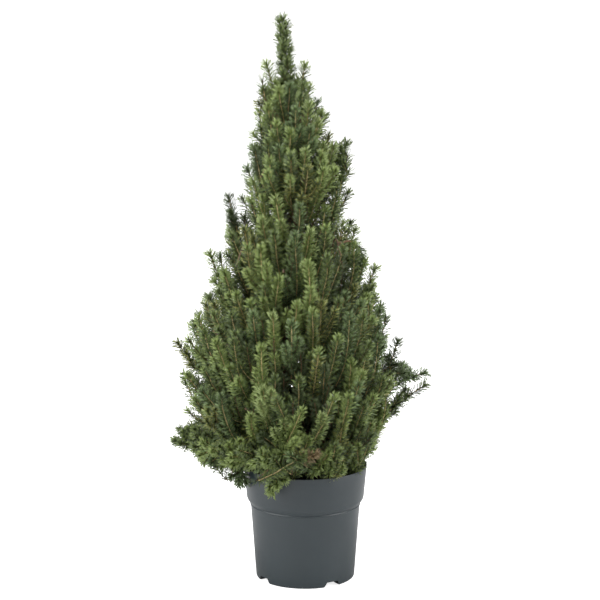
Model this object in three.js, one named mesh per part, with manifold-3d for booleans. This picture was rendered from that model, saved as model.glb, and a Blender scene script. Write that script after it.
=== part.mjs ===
// A potted dwarf Alberta spruce: a tapering trunk that leans a little to the left, a teardrop crown of
// foliage masses round it, low boughs over the compost, and a round nursery pot with a deep collar.
//
// Millimetres, +Z up. The origin is the centre of the pot's flat underside, and -Y is the front.
import * as THREE from "three";
import { mergeVertices } from "three/addons/utils/BufferGeometryUtils.js";
import Module from "manifold-3d";

const wasm = await Module();
wasm.setup();

// ---------------------------------------------------------------- driving dimensions
const GAP = 0.4; // air left between two pieces that touch on the real plant
const SPRAY_AIR = 0.6; // the same, where a lone spray ends at the crown

const POT = {
  height: 177,
  rimRadius: 95,
  collarFoot: 126, // height of the collar's lower edge
  collarFootRadius: 90.5,
  stepFoot: 118, // where the rounded step meets the wall
  stepFootRadius: 84.5,
  baseRadius: 75.5,
  baseRound: 5.5,
  wall: 2,
  floor: 3,
  segments: 48,
};
const NOTCH = { count: 4, first: -57, width: 29, topWidth: 19, height: 8, reach: 58 };
const COMPOST = { edgeHeight: 160, middleHeight: 165, flatRadius: 16 };

const TRUNK = {
  foot: COMPOST.middleHeight + GAP,
  tip: 846,
  flareRadius: 10.5,
  flareHeight: 16,
  radius: 7,
  tipRadius: 1.1,
  sides: 10,
  steps: 18,
};
// The trunk's centre line leans to the left, and the tip most of all.
const LEAN = [
  new THREE.Vector3(-4, 0, 150),
  new THREE.Vector3(-9, 3, 260),
  new THREE.Vector3(-25, 4, 400),
  new THREE.Vector3(-26, 0, 520),
  new THREE.Vector3(-17, -2, 640),
  new THREE.Vector3(-26, -1, 745),
  new THREE.Vector3(-37, 0, 880),
];

// How the branches fan out: a branch that leaves the trunk at height "from" ends at this reach and height.
// "bend" is 1 for a straight branch and more for one that turns late, up or down. "left" is how much
// further, as a share, the branches reach on the left than midway, and "sag" how much lower they end there.
const BRANCHING = [
  { from: 184, reach: 134, tip: 189, bend: 4.5, left: 0.2, sag: 24 },
  { from: 192, reach: 149, tip: 222, bend: 3, left: 0.17, sag: 15 },
  { from: 202, reach: 162, tip: 260, bend: 1.6, left: 0.12, sag: 5 },
  { from: 225, reach: 171, tip: 314, bend: 1.35, left: 0.09, sag: 0 },
  { from: 262, reach: 166, tip: 374, bend: 1.3, left: 0.04, sag: 0 },
  { from: 305, reach: 149, tip: 434, bend: 1.3, left: 0, sag: 0 },
  { from: 360, reach: 123, tip: 500, bend: 1.3, left: 0, sag: 0 },
  { from: 430, reach: 94, tip: 570, bend: 1.25, left: 0, sag: 0 },
  { from: 505, reach: 77, tip: 640, bend: 1.2, left: 0, sag: 0 },
  { from: 590, reach: 60, tip: 706, bend: 1.2, left: 0, sag: 0 },
  { from: 650, reach: 45, tip: 752, bend: 1.1, left: 0.08, sag: 0 },
  { from: 700, reach: 27, tip: 794, bend: 1.1, left: 0.1, sag: 0 },
];
// The crown's shallow bulges: how many go round it, how deep they are and how fast they wind up it.
const BULGES = [
  { round: 3, depth: 0.035, wind: 0.031 },
  { round: 5, depth: 0.03, wind: -0.052 },
];
// Tiers of foliage, each a ring of masses between two heights on the trunk.
const TIERS = [
  { name: "skirt", from: 184, to: 202, count: 6, turn: 22, inner: 38 },
  { name: "lower", from: 202, to: 248, count: 7, turn: 36, inner: 11 },
  { name: "middle", from: 248, to: 330, count: 7, turn: 12, inner: 10 },
  { name: "upper", from: 330, to: 450, count: 6, turn: 28, inner: 9.5 },
  { name: "neck", from: 450, to: 575, count: 5, turn: 6, inner: 8.5 },
  { name: "shoulder", from: 575, to: 690, count: 4, turn: 48, inner: 7 },
];
const MASS = {
  sides: 12,
  shares: [0, 0.24, 0.48, 0.68, 0.84, 0.94], // where its sections lie between inner end and tip
  clearance: 1, // half the air between two masses
  squareness: 4.2, // 2 is an oval section, more is boxier
  blunt: 0.72, // where a mass starts to close towards its tip
  uneven: 0.1,
  reachSpread: 0.06,
  tipRise: 0.25,
};
const LEADER = { foot: 716, tip: 867, radius: 14, sides: 12, steps: 9 };
const BOUGH = { radius: 3.4, endRadius: 2.3, sides: 8, steps: 4, stop: 3.5, stagger: 6 };

// Lone sprays that stand out past the crown, with the two tips of the low bough that forks on the right
// among them. Angles are in degrees from +X, seen from above. Each spray runs outwards through these
// reaches, counted from the trunk's line, and these heights.
const SPRAYS = [
  { name: "spray_left", angle: 184, reach: [140, 172, 201], height: [204, 213, 217], radius: 12.5 },
  { name: "overhang_left", angle: 205, reach: [98, 103, 103], height: [192, 178, 150], radius: 9 },
  { name: "overhang_front", angle: 246, reach: [99, 106, 106], height: [196, 180, 150], radius: 8.5 },
  { name: "fork_right_upper", angle: -3, reach: [112, 162, 205], height: [276, 316, 318], radius: 11 },
  { name: "fork_right_lower", angle: 6, reach: [118, 162, 202], height: [244, 272, 302], radius: 10 },
  { name: "finger_left_low", angle: 186, reach: [120, 152, 172], height: [300, 334, 376], radius: 11 },
  { name: "finger_left_mid", angle: 178, reach: [86, 106, 117], height: [420, 460, 510], radius: 11 },
  { name: "finger_left_high", angle: 190, reach: [62, 86, 96], height: [510, 554, 600], radius: 10 },
  { name: "finger_left_tip", angle: 184, reach: [12, 22, 26], height: [716, 752, 797], radius: 9.5 },
  { name: "finger_right_low", angle: -8, reach: [118, 148, 162], height: [290, 334, 380], radius: 11 },
  { name: "finger_right_mid", angle: 4, reach: [90, 118, 132], height: [396, 440, 488], radius: 11 },
  { name: "finger_right_upper", angle: -10, reach: [72, 98, 110], height: [430, 472, 518], radius: 11 },
  { name: "finger_right_high", angle: 0, reach: [42, 72, 84], height: [566, 614, 678], radius: 10 },
  { name: "finger_right_tip", angle: -6, reach: [10, 20, 26], height: [716, 752, 795], radius: 9.5 },
];

// ---------------------------------------------------------------- finishes
const finish = (color, roughness) => new THREE.MeshStandardMaterial({ color, roughness, metalness: 0 });
const potPlastic = finish(0x53595d, 0.55);
const compostBrown = finish(0x2a211a, 0.95);
const bark = finish(0x6b5138, 0.9);
const needleGreen = finish(0x3f5a2c, 0.75);

// ---------------------------------------------------------------- helpers
const radians = THREE.MathUtils.degToRad;
const { lerp, clamp, smoothstep } = THREE.MathUtils;

// A repeatable stream of numbers from 0 to 1.
function seeded(seed) {
  let state = seed >>> 0;
  return () => {
    state = (state + 0x6d2b79f5) >>> 0;
    let t = state;
    t = Math.imul(t ^ (t >>> 15), t | 1);
    t ^= t + Math.imul(t ^ (t >>> 7), t | 61);
    return ((t ^ (t >>> 14)) >>> 0) / 4294967296;
  };
}

// The trunk's centre at a height.
const leanCurve = new THREE.CatmullRomCurve3(LEAN);
function trunkCentre(z) {
  const last = LEAN.length - 1;
  const above = LEAN.findIndex((p) => p.z > z);
  const k = above < 0 ? last - 1 : clamp(above - 1, 0, last - 1);
  const share = clamp((z - LEAN[k].z) / (LEAN[k + 1].z - LEAN[k].z), 0, 1);
  return leanCurve.getPoint((k + share) / last).setZ(z);
}

function trunkRadius(z) {
  const up = clamp((z - TRUNK.foot) / (TRUNK.tip - TRUNK.foot), 0, 1);
  const flare = 1 - smoothstep(z, TRUNK.foot, TRUNK.foot + TRUNK.flareHeight);
  return lerp(TRUNK.radius, TRUNK.tipRadius, up ** 0.85) + (TRUNK.flareRadius - TRUNK.radius) * flare;
}

// How the branches that leave the trunk at one height run.
function branchFrom(height) {
  const above = BRANCHING.findIndex((row) => row.from > height);
  const k = above < 0 ? BRANCHING.length - 1 : Math.max(above, 1);
  const [a, b] = [BRANCHING[k - 1], BRANCHING[k]];
  const share = (height - a.from) / (b.from - a.from);
  return Object.fromEntries(Object.keys(a).map((key) => [key, lerp(a[key], b[key], share)]));
}

// A point on the branch that leaves the trunk at one height and angle. "share" is 1 at its usual tip.
function alongBranch(from, angle, share) {
  const { reach, tip, bend, left, sag } = branchFrom(from);
  const bulge = BULGES.reduce((sum, b) => sum + b.depth * Math.sin(b.round * angle + b.wind * from), 1);
  const out = share * reach * (1 - left * Math.cos(angle)) * lerp(1, bulge, share);
  const z = from + (tip - from - sag * Math.max(0, -Math.cos(angle))) * share ** bend;
  return trunkCentre(z).add(new THREE.Vector3(out * Math.cos(angle), out * Math.sin(angle), 0));
}

// A closed skin over rings of points, all with the same count, shut by a point at each end.
function loft(rings, start, end) {
  const sides = rings[0].length;
  const points = [start, ...rings.flat(), end];
  const at = (ring, side) => 1 + ring * sides + (side % sides);
  const faces = [];
  for (let side = 0; side < sides; side++) {
    faces.push(0, at(0, side + 1), at(0, side));
    for (let ring = 0; ring + 1 < rings.length; ring++) {
      faces.push(at(ring, side), at(ring, side + 1), at(ring + 1, side + 1));
      faces.push(at(ring, side), at(ring + 1, side + 1), at(ring + 1, side));
    }
    faces.push(points.length - 1, at(rings.length - 1, side), at(rings.length - 1, side + 1));
  }
  return new THREE.BufferGeometry().setFromPoints(points).setIndex(faces);
}

// One ring of points in the plane of two directions.
function ring(centre, right, up, sides, radiusAt) {
  return Array.from({ length: sides }, (_, side) => {
    const turn = (2 * Math.PI * side) / sides;
    const r = radiusAt(side);
    return centre
      .clone()
      .addScaledVector(right, r * Math.cos(turn))
      .addScaledVector(up, r * Math.sin(turn));
  });
}

// A level ring round the trunk's centre line.
const east = new THREE.Vector3(1, 0, 0);
const north = new THREE.Vector3(0, 1, 0);
const levelRing = (z, sides, radiusAt) => ring(trunkCentre(z), east, north, sides, radiusAt);

// Rings round a path, with the radius at each share of its length.
function ringsRound(path, steps, sides, radiusAt) {
  const { normals, binormals } = path.computeFrenetFrames(steps, false);
  return Array.from({ length: steps + 1 }, (_, i) =>
    ring(path.getPointAt(i / steps), normals[i], binormals[i], sides, () => radiusAt(i / steps)),
  );
}

// The surface alone, with each point shared by all the faces that meet there.
function welded(geometry) {
  const bare = geometry.clone();
  bare.deleteAttribute("normal");
  bare.deleteAttribute("uv");
  return mergeVertices(bare, 1e-3);
}

function asSolid(geometry) {
  const merged = welded(geometry);
  return new wasm.Manifold(
    new wasm.Mesh({
      numProp: 3,
      vertProperties: merged.attributes.position.array,
      triVerts: new Uint32Array(merged.index.array),
    }),
  );
}

// The same closed surface, moved outwards a little all over.
function grown(geometry, by) {
  const merged = welded(geometry);
  merged.computeVertexNormals();
  const { position, normal } = merged.attributes;
  for (let i = 0; i < position.count; i++) {
    position.setXYZ(
      i,
      position.getX(i) + by * normal.getX(i),
      position.getY(i) + by * normal.getY(i),
      position.getZ(i) + by * normal.getZ(i),
    );
  }
  return merged;
}

function asGeometry(solid) {
  const { vertProperties, triVerts } = solid.getMesh();
  return new THREE.BufferGeometry()
    .setAttribute("position", new THREE.BufferAttribute(vertProperties, 3))
    .setIndex(new THREE.BufferAttribute(triVerts, 1));
}

const plant = new THREE.Group();
function addNode(name, geometry, material) {
  const mesh = new THREE.Mesh(geometry, material);
  mesh.name = name;
  plant.add(mesh);
}

// ---------------------------------------------------------------- pot
// One thin moulded shell, turned from its section.
function potShell() {
  const { height, rimRadius, wall, floor, baseRadius, baseRound } = POT;
  const { collarFoot, collarFootRadius, stepFoot, stepFootRadius } = POT;
  const outline = new THREE.Path();
  outline.moveTo(0, 0);
  outline.lineTo(baseRadius - baseRound, 0);
  outline.quadraticCurveTo(baseRadius, 0, baseRadius + 0.4, baseRound);
  outline.lineTo(stepFootRadius, stepFoot);
  outline.quadraticCurveTo(stepFootRadius + 0.6, stepFoot + 3, collarFootRadius - 2, collarFoot - 2);
  outline.quadraticCurveTo(collarFootRadius, collarFoot, collarFootRadius + 0.3, collarFoot + 4);
  outline.lineTo(rimRadius, height);
  outline.lineTo(rimRadius - wall, height);
  outline.lineTo(collarFootRadius - wall, collarFoot + 5);
  outline.lineTo(stepFootRadius - wall, stepFoot - 1);
  outline.lineTo(baseRadius - wall, floor + baseRound);
  outline.lineTo(baseRadius - wall - baseRound, floor);
  outline.lineTo(0, floor);
  return new THREE.LatheGeometry(outline.getPoints(2), POT.segments).rotateX(Math.PI / 2);
}

// A drain notch is a wedge-sided block that cuts the foot's edge and opens the floor behind it.
function drainNotch(angle) {
  const { width, topWidth, height, reach } = NOTCH;
  const face = new THREE.Shape();
  face.moveTo(-width / 2, -1);
  face.lineTo(width / 2, -1);
  face.lineTo(topWidth / 2, height);
  face.lineTo(-topWidth / 2, height);
  face.closePath();
  return new THREE.ExtrudeGeometry(face, { depth: POT.baseRadius + 5 - reach, bevelEnabled: false })
    .translate(0, 0, reach)
    .rotateX(Math.PI / 2)
    .rotateZ(angle);
}

let pot = asSolid(potShell());
for (let i = 0; i < NOTCH.count; i++) {
  pot = pot.subtract(asSolid(drainNotch(radians(NOTCH.first + (i * 360) / NOTCH.count))));
}
addNode("pot", asGeometry(pot), potPlastic);

// ---------------------------------------------------------------- compost
// It fills the pot from above the notches to a little under the rim, and mounds up round the trunk.
function compost() {
  const foot = NOTCH.height + 1;
  const inset = POT.wall + 2 * GAP;
  const upCollar = (COMPOST.edgeHeight - POT.collarFoot) / (POT.height - POT.collarFoot);
  const section = [
    [0, foot],
    [lerp(POT.baseRadius, POT.stepFootRadius, foot / POT.stepFoot) - inset - 2, foot],
    [POT.stepFootRadius - inset, POT.stepFoot - 1],
    [POT.collarFootRadius - inset, POT.collarFoot + 5],
    [lerp(POT.collarFootRadius, POT.rimRadius, upCollar) - inset, COMPOST.edgeHeight],
    [COMPOST.flatRadius * 3, COMPOST.middleHeight - 1.5],
    [COMPOST.flatRadius, COMPOST.middleHeight],
    [0, COMPOST.middleHeight],
  ].map(([r, z]) => new THREE.Vector2(r, z));
  return new THREE.LatheGeometry(section, POT.segments / 2).rotateX(Math.PI / 2);
}
addNode("compost", compost(), compostBrown);

// ---------------------------------------------------------------- trunk
// "extra" makes it stouter all round and at the tip.
function trunk(extra = 0) {
  const rings = [];
  for (let i = 0; i <= TRUNK.steps; i++) {
    const z = lerp(TRUNK.foot, TRUNK.tip + extra, (i / TRUNK.steps) ** 1.25);
    rings.push(levelRing(z, TRUNK.sides, () => trunkRadius(z) + extra));
  }
  return loft(rings, trunkCentre(TRUNK.foot), trunkCentre(TRUNK.tip + extra + TRUNK.tipRadius));
}
addNode("trunk", trunk(), bark);
const trunkWithAir = asSolid(trunk(GAP));

// ---------------------------------------------------------------- crown
// Where one mass of a tier lies: its angle, the share of the branches it reaches to and the point where its
// bough enters it.
function massPlace(tier, index) {
  const random = seeded(1000 * tier.from + index);
  const middle = (tier.from + tier.to) / 2;
  const halfWidth = Math.PI / tier.count;
  const angle = radians(tier.turn) + 2 * index * halfWidth;
  const tipShare = 1 + MASS.reachSpread * (2 * random() - 1);
  const entry = alongBranch(middle, angle, tier.inner / branchFrom(middle).reach);
  return { random, middle, halfWidth, angle, tipShare, entry };
}

// One mass: a blunt, uneven flame that lies along the branches of one tier and one stretch of angle.
function crownMass(tier, index) {
  const { random, middle, halfWidth, angle, tipShare, entry } = massPlace(tier, index);
  const halfRise = (tier.to - tier.from) / 2 - MASS.clearance;
  const rounded = (v) => Math.sign(v) * Math.abs(v) ** (2 / MASS.squareness);
  const section = (share) => {
    const closing = clamp((share - MASS.blunt) / (1 - MASS.blunt), 0, 1);
    const opening = smoothstep(share, -0.5, 0.3);
    const size = opening * (1 - closing ** 2.2) ** 0.5;
    const lift = MASS.tipRise * closing * (1 - size);
    return Array.from({ length: MASS.sides }, (_, side) => {
      const turn = (2 * Math.PI * (side + 0.5)) / MASS.sides;
      const w = size * (1 - MASS.uneven * random());
      const from = middle + halfRise * (w * rounded(Math.sin(turn)) + lift);
      const { reach } = branchFrom(from);
      const branchShare = lerp(tier.inner / reach, tipShare, share);
      const halfAngle = halfWidth - MASS.clearance / (branchShare * reach);
      return alongBranch(from, angle + halfAngle * w * rounded(Math.cos(turn)), branchShare);
    });
  };
  const tip = alongBranch(middle + halfRise * MASS.tipRise, angle, tipShare);
  return loft(MASS.shares.map(section), entry, tip);
}

for (const tier of TIERS) {
  for (let i = 0; i < tier.count; i++) {
    addNode(`foliage_${tier.name}_${i + 1}`, crownMass(tier, i), needleGreen);
  }
}

// The leader is the slim spire round the trunk's tip.
function leader() {
  const random = seeded(77);
  const rings = [];
  for (let i = 0; i <= LEADER.steps; i++) {
    const share = i / LEADER.steps;
    const z = lerp(LEADER.foot, LEADER.tip - 3, share);
    const funnel = lerp(4, LEADER.radius, smoothstep(share, 0, 0.34));
    const shut = (1 - clamp((share - 0.72) / 0.28, 0, 1) ** 2.2 * 0.8) ** 0.5;
    rings.push(levelRing(z, LEADER.sides, () => funnel * shut * (1 - 0.14 * random())));
  }
  return loft(rings, trunkCentre(LEADER.foot), trunkCentre(LEADER.tip));
}
addNode("foliage_leader", asGeometry(asSolid(leader()).subtract(trunkWithAir)), needleGreen);

// ---------------------------------------------------------------- boughs
// Each bough of the lowest tier leaves the trunk and ends where it enters its mass.
function bough(index) {
  const { angle, entry } = massPlace(TIERS[0], index);
  const outwards = new THREE.Vector3(Math.cos(angle), Math.sin(angle), 0);
  const height = entry.z + (index % 2 ? BOUGH.stagger : -BOUGH.stagger);
  const path = new THREE.LineCurve3(
    trunkCentre(height).addScaledVector(outwards, 2),
    entry.clone().addScaledVector(outwards, -BOUGH.stop),
  );
  const taper = (share) => lerp(BOUGH.radius, BOUGH.endRadius, share);
  return loft(ringsRound(path, BOUGH.steps, BOUGH.sides, taper), path.getPoint(0), path.getPoint(1));
}

for (let i = 0; i < TIERS[0].count; i++) {
  addNode(`bough_${i + 1}`, asGeometry(asSolid(bough(i)).subtract(trunkWithAir)), bark);
}

// ---------------------------------------------------------------- lone sprays
function spray({ angle, reach, height, radius, name }) {
  const random = seeded(name.length * 31 + radius * 10);
  const outwards = new THREE.Vector3(Math.cos(radians(angle)), Math.sin(radians(angle)), 0);
  const path = new THREE.CatmullRomCurve3(
    reach.map((out, i) => trunkCentre(height[i]).addScaledVector(outwards, out)),
  );
  const spindle = (share) => Math.sqrt(1 - (2 * share - 1) ** 2 * 0.82);
  const rings = ringsRound(path, 5, 9, (share) => radius * spindle(share) * (1 - 0.18 * random()));
  return loft(rings, path.getPoint(0), path.getPoint(1));
}

// A lone spray gives way to the crown's masses, with a little air between, and ends where it enters them.
const crownWithAir = plant.children
  .filter((mesh) => mesh.name.startsWith("foliage_"))
  .map((mesh) => asSolid(grown(mesh.geometry, SPRAY_AIR)));
const larger = (a, b) => (b.volume() > a.volume() ? b : a);
for (const one of SPRAYS) {
  const cut = crownWithAir.reduce((solid, mass) => solid.subtract(mass), asSolid(spray(one)));
  addNode(one.name, asGeometry(cut.decompose().reduce(larger)), needleGreen);
}

export default plant;
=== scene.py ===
# %% [markdown]
# # A potted dwarf Alberta spruce
# The plant is a cone of close, upright shoots on a thin trunk, in a round moulded nursery pot. The packed
# CAD model gives every place and size: its masses say where the crown is, and this script grows real
# wood and needles inside them. Lengths are in metres, +Z is up and -Y is the front.

# %% Load the frame
import math

import bmesh
import bpy
import numpy as np
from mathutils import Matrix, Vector, noise


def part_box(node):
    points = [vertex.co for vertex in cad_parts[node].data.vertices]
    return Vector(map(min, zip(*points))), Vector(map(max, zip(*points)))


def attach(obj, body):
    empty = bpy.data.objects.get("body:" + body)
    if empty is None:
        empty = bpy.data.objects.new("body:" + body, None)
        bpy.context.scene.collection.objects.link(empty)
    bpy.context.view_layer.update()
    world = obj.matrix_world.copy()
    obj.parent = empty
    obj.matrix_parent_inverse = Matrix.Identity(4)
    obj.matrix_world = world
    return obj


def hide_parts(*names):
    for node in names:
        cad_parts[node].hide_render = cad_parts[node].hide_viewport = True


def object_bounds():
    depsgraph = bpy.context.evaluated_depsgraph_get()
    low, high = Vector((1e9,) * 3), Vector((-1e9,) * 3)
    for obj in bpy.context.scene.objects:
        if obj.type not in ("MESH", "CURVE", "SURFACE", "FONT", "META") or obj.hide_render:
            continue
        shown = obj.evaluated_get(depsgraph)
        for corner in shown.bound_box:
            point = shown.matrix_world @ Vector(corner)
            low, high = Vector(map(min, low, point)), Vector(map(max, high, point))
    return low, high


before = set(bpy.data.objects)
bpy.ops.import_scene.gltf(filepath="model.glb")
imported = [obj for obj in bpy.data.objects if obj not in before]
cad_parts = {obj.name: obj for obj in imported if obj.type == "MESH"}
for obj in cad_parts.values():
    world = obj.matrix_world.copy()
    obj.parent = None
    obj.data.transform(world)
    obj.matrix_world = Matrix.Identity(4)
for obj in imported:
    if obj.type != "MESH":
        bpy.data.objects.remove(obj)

MM = 0.001
CAD_BOX = [list(corner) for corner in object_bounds()]
print("CAD nodes:", len(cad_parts), "box:", np.round(CAD_BOX, 3).tolist())

# %% [markdown]
# ## Camera and studio
# The plant stands 0.87 m tall, so a long lens at three metres shows it with little perspective, a little
# from above. A white room round it is the simplest soft light: it gives even light among the needles and a
# pale edge on the satin pot. Two soft boxes and one overhead add the shape.

# %% Camera
CAMERA_PLACE = (-0.0082, -3.0, 0.97)
CAMERA_TILT = 79.851  # degrees: 0 looks straight down and 90 is level
LENS = 120.4  # mm
scene = bpy.context.scene
scene.view_settings.view_transform = "Standard"  # keeps plain colours plain


def placed(name, data):
    """A new object in the scene, which holds a mesh, a light or a camera."""
    made = bpy.data.objects.new(name, data)
    scene.collection.objects.link(made)
    return made


camera = placed("camera", bpy.data.cameras.new("camera"))
camera.location = CAMERA_PLACE
camera.rotation_euler = (math.radians(CAMERA_TILT), 0, 0)
camera.data.lens = LENS
camera.data.clip_end = 60  # past the floor's far edge
scene.camera = camera
print("lens:", LENS)

# %% Soft boxes
SOFT_BOXES = {
    "left box": {"place": (-2.4, -1.1, 1.2), "size": (2.4, 2.2), "power": 90},
    "right box": {"place": (2.5, -0.8, 1.2), "size": (1.9, 2.2), "power": 70},
    "overhead": {"place": (-0.3, -0.6, 2.9), "size": (1.4, 1.2), "power": 62},
}
AIM = Vector((0, 0, 0.4))


def soft_box(name, place, size, power):
    light = bpy.data.lights.new(name, "AREA")
    light.shape = "RECTANGLE"
    light.size, light.size_y = size
    light.energy = power
    lamp = placed(name, light)
    lamp.location = place
    lamp.rotation_euler = (AIM - Vector(place)).to_track_quat("-Z", "Y").to_euler()


for name, facts in SOFT_BOXES.items():
    soft_box(name, **facts)
print("soft boxes:", len(SOFT_BOXES))

# %% [markdown]
# ## Node helpers
# Shader trees and Geometry Nodes trees are built alike: make a node, then fill each input with a value or
# with a link from another node. One short helper does both, so each tree reads like a recipe. Three more
# stand for the nodes that turn up most: arithmetic, a change of range, and a blend of two colours.


# %% Helpers for every tree
def add(tree, kind, inputs=None, **settings):
    made = tree.nodes.new(kind)
    for key, value in settings.items():
        setattr(made, key, value)
    for key, value in (inputs or {}).items():
        if isinstance(value, bpy.types.NodeSocket):
            tree.links.new(value, made.inputs[key])
        else:
            made.inputs[key].default_value = value
    return made


def maths(tree, operation, *numbers):
    return add(tree, "ShaderNodeMath", dict(enumerate(numbers)), operation=operation).outputs[0]


def mapped(tree, value, low, high, to_low, to_high):
    ends = {"From Min": low, "From Max": high, "To Min": to_low, "To Max": to_high}
    return add(tree, "ShaderNodeMapRange", {"Value": value, **ends}).outputs["Result"]


def blended(tree, share, first, second):
    """The first colour where the share is 0, the second where it is 1."""
    inputs = {"Factor": share, 6: first, 7: second}  # 6 and 7 are the node's two colour inputs
    return add(tree, "ShaderNodeMix", inputs, data_type="RGBA").outputs[2]


def colour(red, green, blue):
    """A screen colour from 0 to 255, as the linear colour that shaders take."""
    share = np.array([red, green, blue]) / 255
    linear = np.where(share <= 0.04045, share / 12.92, ((share + 0.055) / 1.055) ** 2.4)
    return (*map(float, linear), 1.0)


WHITE = colour(255, 255, 255)
print("white is", WHITE)

# %% [markdown]
# ## White room and floor
# The world is plain white, and the floor is a wide white disc that shines a little itself, so that it
# keeps the same white under the pot as far away.

# %% World and floor
ROOM_LIGHT = 0.47  # how much light the white room gives
ROOM_SEEN = 1.1  # how bright it looks behind the plant
FLOOR_GLOW = 0.8  # keeps the floor white to the eye, and adds no light
FLOOR_RADIUS, FLOOR_SIDES = 40, 96
FLOOR_DROP = 0.4 * MM  # keeps the floor clear of the pot's foot

world = bpy.data.worlds.new("white room")
world.use_nodes = True
room = world.node_tree
backdrop = room.nodes["Background"]
backdrop.inputs["Color"].default_value = WHITE
seen = add(room, "ShaderNodeLightPath").outputs["Is Camera Ray"]
room.links.new(mapped(room, seen, 0, 1, ROOM_LIGHT, ROOM_SEEN), backdrop.inputs["Strength"])
scene.world = world


def new_material(name, base, roughness):
    """A material with its Principled shader, and the tree to add to."""
    made = bpy.data.materials.new(name)
    made.use_nodes = True
    shader = made.node_tree.nodes["Principled BSDF"]
    shader.inputs["Base Color"].default_value = base
    shader.inputs["Roughness"].default_value = roughness
    return made, made.node_tree, shader


floor_white, tree, shader = new_material("floor white", (0.88, 0.88, 0.88, 1), 0.9)
seen = add(tree, "ShaderNodeLightPath").outputs["Is Camera Ray"]
glow = maths(tree, "MULTIPLY", seen, FLOOR_GLOW)
tree.links.new(glow, shader.inputs["Emission Strength"])
shader.inputs["Emission Color"].default_value = WHITE
shader.inputs["Specular IOR Level"].default_value = 0.1


def new_piece(name, points, faces, smooth=True):
    """A mesh object at the origin, from arrays of points and faces."""
    mesh = bpy.data.meshes.new(name)
    mesh.from_pydata([tuple(p) for p in points], [], [tuple(f) for f in faces])
    mesh.update()
    mesh.polygons.foreach_set("use_smooth", [smooth] * len(mesh.polygons))
    return placed(name, mesh)


turns = np.linspace(0, 2 * math.pi, FLOOR_SIDES, endpoint=False)
edge = FLOOR_RADIUS * np.column_stack([np.cos(turns), np.sin(turns), np.zeros(FLOOR_SIDES)])
floor = new_piece("floor", edge, [range(FLOOR_SIDES)], smooth=False)
floor.location.z = -FLOOR_DROP
floor.data.materials.append(floor_white)
print("floor radius:", FLOOR_RADIUS)

# %% [markdown]
# ## Shared finishes
# Two effects turn up on several surfaces. "Mottle" is soft cloudy variation at a chosen size: plastic has
# it in its gloss, bark and compost in their colour. "Settled dust" is a pale film on faces that look up,
# broken up by noise. Each is a node group that puts out only a colour or a value.

# %% Mottle and dust groups
FLOAT, COLOUR = "NodeSocketFloat", "NodeSocketColor"


def new_group(name, inputs, output, kind):
    """A shader node group with named inputs and one output."""
    group = bpy.data.node_groups.new(name, "ShaderNodeTree")
    for title, value in inputs.items():
        takes = COLOUR if isinstance(value, tuple) else FLOAT
        group.interface.new_socket(title, in_out="INPUT", socket_type=takes).default_value = value
    group.interface.new_socket(output, in_out="OUTPUT", socket_type=kind)
    return group, group.nodes.new("NodeGroupInput").outputs, group.nodes.new("NodeGroupOutput").inputs


def clouds(tree, scale, detail):
    """Noise that is fixed to the piece."""
    place = add(tree, "ShaderNodeTexCoord").outputs["Object"]
    inputs = {"Vector": place, "Scale": scale, "Detail": detail}
    return add(tree, "ShaderNodeTexNoise", inputs).outputs["Fac"]


mottle, given, made = new_group(
    "mottle", {"Scale": 40.0, "Detail": 4.0, "Low": 0.0, "High": 1.0}, "Value", FLOAT
)
cloud = clouds(mottle, given["Scale"], given["Detail"])
mottle.links.new(mapped(mottle, cloud, 0.3, 0.7, given["Low"], given["High"]), made["Value"])

dust, given, made = new_group(
    "settled dust",
    {"Colour": (0.1, 0.1, 0.1, 1), "Dust": (0.3, 0.27, 0.23, 1), "Amount": 0.3, "Scale": 60.0},
    "Colour",
    COLOUR,
)
facing = add(dust, "ShaderNodeNewGeometry").outputs["Normal"]
height = add(dust, "ShaderNodeSeparateXYZ", {0: facing}).outputs["Z"]
upward = mapped(dust, height, -0.3, 1.0, 0.0, 1.0)
share = maths(dust, "MULTIPLY", upward, clouds(dust, given["Scale"], 5.0))
share = maths(dust, "MULTIPLY", share, given["Amount"])
dust.links.new(blended(dust, share, given["Colour"], given["Dust"]), made["Colour"])


def mottled(tree, scale, detail, low=0.0, high=1.0):
    """The mottle group in a material, and the value that it puts out."""
    inputs = {"Scale": scale, "Detail": detail, "Low": low, "High": high}
    return add(tree, "ShaderNodeGroup", inputs, node_tree=mottle).outputs["Value"]


def dusted(tree, under, film, amount, scale):
    """The dust group in a material, and the colour that it puts out."""
    inputs = {"Colour": under, "Dust": film, "Amount": amount, "Scale": scale}
    return add(tree, "ShaderNodeGroup", inputs, node_tree=dust).outputs["Colour"]


def bump(tree, shader, height, strength, distance):
    inputs = {"Height": height, "Strength": strength, "Distance": distance}
    tree.links.new(add(tree, "ShaderNodeBump", inputs).outputs["Normal"], shader.inputs["Normal"])


def two_tone(name, plain, first, second, roughness, scale, detail):
    """A material clouded between two colours. Gives the clouds too, for its bump."""
    material, tree, shader = new_material(name, plain, roughness)
    patches = mottled(tree, scale, detail)
    tree.links.new(blended(tree, patches, first, second), shader.inputs["Base Color"])
    return material, tree, shader, patches


print("shared groups:", mottle.name, "and", dust.name)

# %% [markdown]
# ## The pot
# A nursery pot is one thin shell of injection-moulded polypropylene: a tapering wall, a rounded step out to
# a deep collar, and drain notches cut in the foot. Turning its section about the axis gives the shell with
# every small rounding in place. The notches are cut with a Boolean, because they cross the curved foot at
# a slant that a turned section can't follow.

# %% Pot section
pot_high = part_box("pot")[1]
POT_SIDES = 192
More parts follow.
